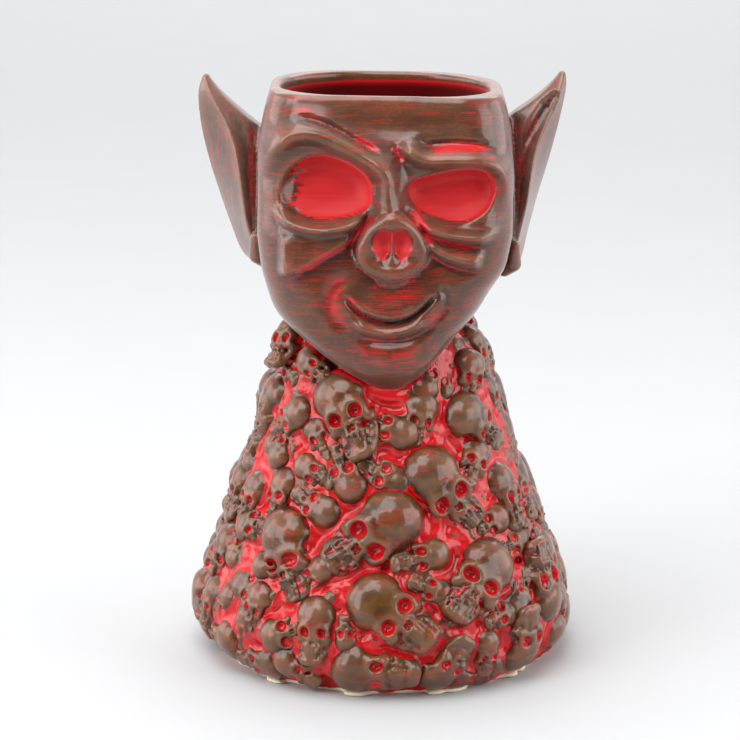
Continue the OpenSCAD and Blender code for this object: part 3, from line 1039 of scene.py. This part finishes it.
def store(mesh, name, values):
    """Keeps one number for each vertex."""
    layer = mesh.attributes.new(name, "FLOAT", "POINT")
    layer.data.foreach_set("value", np.asarray(values, np.float32))


def world_clay(parts):
    """Everything together on one coarse lattice, blurred, to find the hollows of the whole mug."""
    clay = Clay((-64, -64, -3), (64, 64, 186), WORLD_GRAIN)
    for part in parts:
        clay.add_clay(part, 0.6)
    return clay.blurred(WIDE_BLUR)


def height_over_mound(places, steep=0.93):
    """How far each place stands out of the mound's smooth surface, which leans in by this cosine."""
    table = np.arange(0, 104.5, 0.5)
    radius = np.interp(np.clip(places[:, 2], 0, 104), table, smooth_table(MOUND, table)[0])
    return (np.hypot(places[:, 0], places[:, 1]) - radius) * steep


def socket_red(s, places):
    """1 inside a skull's eye sockets and nose."""
    q = ((places - s.centre) @ s.axes.T) / s.radius
    red = np.zeros(len(places))
    for x, z, size in s.eyes:
        d = np.hypot(q[:, 0] - x, q[:, 2] - z) / size
        red = np.maximum(red, (1 - ramp(d, 0.8, 1.1)) * ramp(q[:, 1], 0.1, 0.3))
    return red


# ---- shader nodes

class Value:
    """The output of a shader node, with which sums are written as with a plain number."""

    def __init__(self, tree, socket):
        self.tree, self.socket = tree, socket

    def combine(self, operation, other):
        return add_node(self.tree, "Math", {0: self, 1: other}, operation=operation)

    def __add__(self, other):
        return self.combine("ADD", other)

    def __sub__(self, other):
        return self.combine("SUBTRACT", other)

    def __mul__(self, other):
        return self.combine("MULTIPLY", other)

    def at_most(self, other):
        return self.combine("MINIMUM", other)

    def at_least(self, other):
        return self.combine("MAXIMUM", other)

    def ramp(self, low, high, to_low=0.0, to_high=1.0):
        """A smooth step from to_low, where this value is low, to to_high, where it is high."""
        ends = {"From Min": low, "From Max": high, "To Min": to_low, "To Max": to_high}
        return add_node(self.tree, "MapRange", {"Value": self} | ends, "Result",
                        interpolation_type="SMOOTHSTEP")

    def mix(self, a, b):
        """Colour a where this value is 0, and b where it is 1."""
        return add_node(self.tree, "Mix", {"Factor": self, "A": a, "B": b}, "Result", data_type="RGBA")


def set_inputs(tree, node, inputs):
    """Links each value to its socket, or sets the socket to a plain number or colour."""
    for socket, value in inputs.items():
        if isinstance(value, Value):
            tree.links.new(value.socket, node.inputs[socket])
        else:
            node.inputs[socket].default_value = value


def add_node(tree, kind, inputs, output=0, **settings):
    """Adds a shader node, and returns one of its outputs."""
    node = tree.nodes.new("ShaderNode" + kind)
    for setting, value in settings.items():
        setattr(node, setting, value)
    set_inputs(tree, node, inputs)
    return Value(tree, node.outputs[output])


def new_material(name):
    material = bpy.data.materials.new(name)
    material.use_nodes = True
    tree = material.node_tree
    tree.nodes.clear()
    shader = tree.nodes.new("ShaderNodeBsdfPrincipled")
    output = tree.nodes.new("ShaderNodeOutputMaterial")
    tree.links.new(shader.outputs[0], output.inputs[0])
    return material, tree, shader


def noise(tree, stretch, scale, detail, roughness=0.55, turn=(0, 0, 0)):
    """Noise over the object in millimetres, with its grain stretched along the axes."""
    place = add_node(tree, "TexCoord", {}, "Object")
    mapped = add_node(tree, "Mapping", {"Vector": place, "Rotation": turn,
                                        "Scale": [v / MM for v in stretch]})
    return add_node(tree, "TexNoise", {"Vector": mapped, "Scale": scale, "Detail": detail,
                                       "Roughness": roughness, "Distortion": 0.25}, "Fac")


def attribute(tree, name):
    """A number that the mesh keeps for each vertex."""
    return add_node(tree, "Attribute", {}, "Fac", attribute_name=name)


def bump(tree, height, strength, distance):
    """The surface's direction on uneven ground, for the shader's Normal."""
    return add_node(tree, "Bump", {"Height": height, "Strength": strength, "Distance": distance})


# ---- materials

EVEN = (1, 1, 1)                           # noise that isn't stretched
RED = (0.50, 0.006, 0.009, 1)
PALE_RED = (0.58, 0.020, 0.019, 1)
SHADE_RED = (0.10, 0.0004, 0.0008, 1)       # painted shade: red darkened in the deepest hollows and further down inside the cup
SHADE_BROWN = (0.022, 0.009, 0.005, 1)      # painted shade: brown darkened in hollows and creases, in the mouth and at the left socket's edge
OLIVE_BROWN = (0.12, 0.048, 0.009, 1)      # mottling
WORN_AND_HIGHLIGHT_BROWN = (0.19, 0.10, 0.06, 1)         # brown wiped thin on the high places, partly a painted highlight
DARK_CREAM, LIGHT_CREAM = (0.72, 0.60, 0.42, 1), (0.80, 0.71, 0.55, 1)
SPECK_BROWN = (0.42, 0.26, 0.15, 1)
PAPER = (0.450, 0.455, 0.465, 1), (0.467, 0.473, 0.48, 1)    # the floor's two greys

# The wiped glazes: their browns, how strongly hollows turn red, how much the brush streaks show,
# how the streaks are stretched, and how glossy they are
FACE_GLAZE = {"dark": (0.080, 0.030, 0.012, 1), "light": (0.148, 0.058, 0.026, 1), "gain": 0.32,
              "streaks": 0.55, "stretch": (0.17, 0.5, 2.8), "matt": 0.32, "sheen": 0.12,
              "coat": 0.62, "coat_roughness": 0.12}
# The ears' browns are paler and pinker than the face's: a painted sheen on the same brown glaze
SHEEN_EAR_GLAZE = {"dark": (0.105, 0.05, 0.034, 1), "light": (0.17, 0.085, 0.06, 1), "gain": 0.8,
             "streaks": 0.4, "stretch": (1.3, 0.5, 0.12), "sheen": 0.1,
             "coat": 0.62, "coat_roughness": 0.12}
SKULL_GLAZE = {"dark": (0.034, 0.0125, 0.003, 1), "light": (0.112, 0.047, 0.010, 1), "gain": 1.6,
               "streaks": 0.42, "stretch": (0.2, 0.6, 1.2), "turn": (0.3, 0.5, 0.2)}


def wiped_glaze(name, dark, light, gain, streaks, stretch, turn=(0, 0, 0), matt=0.0, sheen=0.0,
                coat=0.5, coat_roughness=0.08):
    """Brown glaze wiped over red: red stays in the hollows and shows through in brush streaks."""
    material, tree, shader = new_material(name)
    patches = noise(tree, EVEN, 0.16, 4)
    mottle = noise(tree, EVEN, 0.9, 4, 0.6)
    brush = noise(tree, stretch, 1.0, 5, 0.62, turn)
    broad = noise(tree, [v * 0.3 for v in stretch], 1.0, 3, 0.5, turn)
    painted = attribute(tree, "red")
    # How deep each point lies, from the mesh's hollow and crease: it sets where red shows, and the
    # painted shade and highlight in the glaze's colours
    depth = attribute(tree, "hollow") * (1.9 * gain) + attribute(tree, "crease") * (0.9 * gain)
    depth = depth + (mottle - 0.5) * 0.7

    streak = brush.ramp(0.42, 0.68) * broad.ramp(0.36, 0.64) * streaks
    red = (where_red(depth, painted, brush, mottle) + streak).at_most(1.0)
    brown = brown_colour(depth, painted, mottle, patches.ramp(0.3, 0.7).mix(dark, light))
    dull = painted.ramp(0.6, 1.0, 0.0, matt) - painted.ramp(1.02, 1.15, 0.0, matt)
    shine = red.ramp(0.0, 1.0, 1.0, 0.5) - dull * 1.5
    set_inputs(tree, shader, {
        "Base Color": red.mix(brown, red_colour(depth, painted, broad)),
        "Roughness": red.ramp(0.0, 1.0, 0.33, 0.18) + dull,
        "IOR": 1.5,
        "Specular IOR Level": 0.28,
        "Coat Weight": shine * coat,
        "Coat Roughness": coat_roughness,
        "Sheen Weight": sheen,
        "Sheen Roughness": 0.5,
        "Normal": bump(tree, brush * 0.6 + mottle * 0.5, 0.35, 0.00025)})
    return material


def where_red(depth, painted, brush, mottle):
    """1 where red shows: in hollows, and in painted places where the brown is brushed thin."""
    recess = (depth + painted.at_most(0.0) * 3.0).ramp(0.18, 0.62)
    uneven = brush * 1.1 + mottle * 0.8
    return recess.at_least((painted + (uneven - 0.95)).ramp(0.2, 0.8))


def brown_colour(depth, painted, mottle, brown):
    """The brown, with painted shade darkening it in the hollows, in creases and where the red is below 0,
    and paler where it was wiped off the high places, partly as a painted highlight.
    """
    # Painted shade: darker brown in hollows and creases, and where the red is painted below 0
    painted_shade = (depth.ramp(-0.45, 0.25) * 0.9).at_least(painted.at_most(0.0).ramp(0.0, -0.7, 0.0, 0.95))
    brown = painted_shade.mix(brown, SHADE_BROWN)
    brown = (mottle.ramp(0.45, 0.75) * 0.45).mix(brown, OLIVE_BROWN)
    # Paler brown on the high places: partly glaze wiped thin, partly a painted highlight
    return ((depth * -1.0).ramp(0.3, 1.3) * 0.45).mix(brown, WORN_AND_HIGHLIGHT_BROWN)


def red_colour(depth, painted, broad):
    """The red, in paler and deeper patches, with painted shade darkening it in the deepest hollows and
    further down inside the cup.
    """
    # Painted shade: the red darkens in the deepest hollows, and where the red is painted above 1.2, down
    # inside the cup
    pooled = (depth.ramp(0.55, 2.1) * 0.8).at_least(painted.ramp(1.2, 2.0))
    return pooled.mix((broad.ramp(0.35, 0.7) * 0.4).mix(RED, PALE_RED), SHADE_RED)


def bare_clay():
    """Unglazed cream earthenware, speckled and gritty."""
    material, tree, shader = new_material("bare_clay")
    grit = noise(tree, EVEN, 5.0, 3, 0.7)
    cream = noise(tree, EVEN, 0.12, 4).ramp(0.35, 0.7).mix(DARK_CREAM, LIGHT_CREAM)
    set_inputs(tree, shader, {
        "Base Color": noise(tree, EVEN, 2.4, 2, 0.7).ramp(0.66, 0.74).mix(cream, SPECK_BROWN),
        "Roughness": grit.ramp(0.3, 0.7, 0.75, 0.95),
        "Normal": bump(tree, grit, 0.5, 0.0002)})
    return material


def paper():
    """The pale matt sheet that the mug stands on."""
    material, tree, shader = new_material("paper")
    set_inputs(tree, shader, {"Base Color": noise(tree, EVEN, 0.02, 3).mix(*PAPER), "Roughness": 0.8})
    return material


# ---- camera, light and floor

ROOM = (0.07, 1.0)    # brightness of the room behind the camera, and round the rest

# Place, size and power of each softbox, in metres and watts
SOFTBOXES = {"left_softbox": ((-0.95, -0.62, 0.50), (0.6, 0.9), 8.5),
             "right_softbox": ((0.98, -0.58, 0.42), (0.6, 0.9), 6.5),
             "front_softbox": ((-0.25, -0.55, 1.05), (0.9, 0.7), 10.0),
             "left_panel": ((-1.0, 0.1, 0.30), (0.8, 0.8), 5.2),
             "right_panel": ((1.0, 0.1, 0.30), (0.8, 0.8), 4.8),
             "top_softbox": ((-0.1, 0.05, 1.15), (0.6, 0.6), 4.0)}


def aim(thing, place, target):
    """Puts a camera or light at a place, looking at the target."""
    thing.location = place
    thing.rotation_euler = (Vector(target) - Vector(place)).to_track_quat("-Z", "Y").to_euler()


def add_camera():
    data = bpy.data.cameras.new("camera")
    data.sensor_width = 36
    data.lens = 137
    camera = add_object("camera", data)
    aim(camera, (0.0, -0.850, 0.302), (-0.0047, 0.0, 0.088))
    bpy.context.scene.camera = camera


def softbox(name, place, size, power, target=(0, 0, 0.09)):
    data = bpy.data.lights.new(name, "AREA")
    data.shape = "RECTANGLE"
    data.size, data.size_y = size
    data.energy = power
    aim(add_object(name, data), place, target)


def add_light():
    world = bpy.data.worlds.new("studio")
    bpy.context.scene.world = world
    world.use_nodes = True
    tree = world.node_tree
    generated = add_node(tree, "TexCoord", {}, "Generated")
    front_to_back = add_node(tree, "SeparateXYZ", {0: generated}, "Y")
    set_inputs(tree, tree.nodes["Background"], {"Color": (1.0, 1.0, 1.0, 1.0),
                                                "Strength": front_to_back.ramp(-0.6, 0.2, *ROOM)})
    for name, (place, size, power) in SOFTBOXES.items():
        softbox(name, place, size, power)
    softbox("floor_light", (0.0, 2.1, 1.7), (3.0, 1.6), 44.0, (0, 2.3, 0))
    bpy.context.scene.view_settings.view_transform = "Standard"


def add_floor():
    """A wide sheet that the mug stands on."""
    reach, steps = 9.0, 6
    cells = np.linspace(-reach, reach, steps + 1)
    points = [(x, y, 0.0) for y in cells for x in cells]
    row = steps + 1
    corners = [j * row + i for j in range(steps) for i in range(steps)]
    faces = [(c, c + 1, c + row + 1, c + row) for c in corners]
    mesh = bpy.data.meshes.new("floor")
    mesh.from_pydata(points, [], faces)
    mesh.materials.append(paper())
    add_object("floor", mesh)


# ---- where each piece is painted red

NOSE_MIDDLE = 2.0      # x of the nose's middle line


def head_red(p, cavity, face_red):
    """Red inside the cup, up to its lip, and where the face is painted. Inside the cup the red rises from
    1.25 to 2 further down, which paints shade there.
    """
    red = (1 - ramp(cavity.sample(p), 0.5, 1.1)) * (1 - ramp(p[:, 2], RIM_Z - 2.2, RIM_Z - 1.2))
    # Painted shade: the red rises above 1 further down inside the cup, which darkens it
    red *= 1.25 + 0.75 * ramp(RIM_Z - p[:, 2], 0.8, 4.5)
    x = np.clip((p[:, 0] - HEAD_LOW[0]) / GRAIN, 0, face_red.shape[0] - 1).astype(int)
    z = np.clip((p[:, 2] - HEAD_LOW[2]) / GRAIN, 0, face_red.shape[1] - 1).astype(int)
    face = face_red[x, z] * (1 - ramp(p[:, 1], -25, -18)) * ramp(-p[:, 1], 22, 24)
    return np.where(red > 0.01, red, face)


def nose_red(p):
    """Red in the nostrils, but for the septum and what it stands on."""
    x = p[:, 0] - NOSE_MIDDLE
    opening = 1 - ramp(np.hypot(x / 6.3, (p[:, 2] - 135.4) / 5.9), 0.84, 1.0)
    septum = ramp(np.abs(x) + 0.5 * ramp(p[:, 2], 133, 137), 0.4, 0.9)
    base = ramp(np.hypot(x / 2.2, (p[:, 2] - 130.2) / 3.2), 0.8, 1.1)
    return opening * ramp(p[:, 1], -40.6, -39.6) * septum * base


def ground_red(p):
    """Red on the mound between the reliefs."""
    return 1.0 - ramp(height_over_mound(p), 1.2, 3.0)


def relief_red(p, s):
    """Red in a relief's sockets, and round its foot."""
    return np.maximum(socket_red(s, p), 0.9 - 0.9 * ramp(height_over_mound(p), 0.4, 1.8))


def no_red(p):
    return np.zeros(len(p))


def all_red(p):
    return np.ones(len(p))


# ---- the whole mug

def finish(name, clay, world, material, nodes, red):
    """Meshes a piece, paints it and hides the CAD nodes that it stands for."""
    piece, places = mesh_piece(name, clay, world)
    store(piece.data, "red", red(places))
    piece.data.materials.append(material)
    if nodes:
        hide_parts(*nodes)


def build_mug():
    skull_names = sorted(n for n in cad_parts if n.startswith("skull_"))
    nose = sculpt_nose()
    left_ear, right_ear = sculpt_ear(LEFT_EAR, -1), sculpt_ear(RIGHT_EAR, 1)
    head, head_outer, cavity, face_red = sculpt_head(nose, [left_ear, right_ear])
    skulls = [skull_from_node(name, i) for i, name in enumerate(skull_names)]
    together = mound_block(reach=64)
    for s in skulls:
        sculpt_skull(s, carve_skull, *SKULL_BLOCK)
        together.add_clay(s.clay, 0.1)
    small = small_relief(together, head_outer)
    for s in small:
        sculpt_small(s)
    collar = sculpt_collar()
    reliefs = [s.clay for s in skulls + small]
    mound, whole = sculpt_mound(reliefs + [collar], head_outer)
    foot = sculpt_foot(whole)
    world = world_clay([head, left_ear, right_ear, nose, mound, collar, foot] + reliefs)

    face_glaze = wiped_glaze("face_glaze", **FACE_GLAZE)
    sheen_ear_glaze = wiped_glaze("sheen_ear_glaze", **SHEEN_EAR_GLAZE)
    skull_glaze = wiped_glaze("skull_glaze", **SKULL_GLAZE)
    parts = [("head_shell", head, face_glaze, "brown_glaze", lambda p: head_red(p, cavity, face_red)),
             ("nose", nose, face_glaze, "brown_glaze", nose_red),
             ("left_ear", left_ear, sheen_ear_glaze, "brown_glaze", no_red),
             ("right_ear", right_ear, sheen_ear_glaze, "brown_glaze", no_red),
             ("mound_shell", mound, skull_glaze, "red_glaze", ground_red),
             ("neck_collar", collar, skull_glaze, "red_glaze", all_red)]
    for name, clay, material, slot, red in parts:
        finish(name, clay, world, material, [name], red)
    for name, s in zip(skull_names, skulls):
        finish(name, s.clay, world, skull_glaze, [name], lambda p: relief_red(p, s))
    for i, s in enumerate(small, 1):
        finish("small_relief_%02d" % i, s.clay, world, skull_glaze, [],
               lambda p: relief_red(p, s))
    finish("foot", foot, world, bare_clay(), ["foot_disc"], no_red)


add_camera()
add_light()
add_floor()
build_mug()
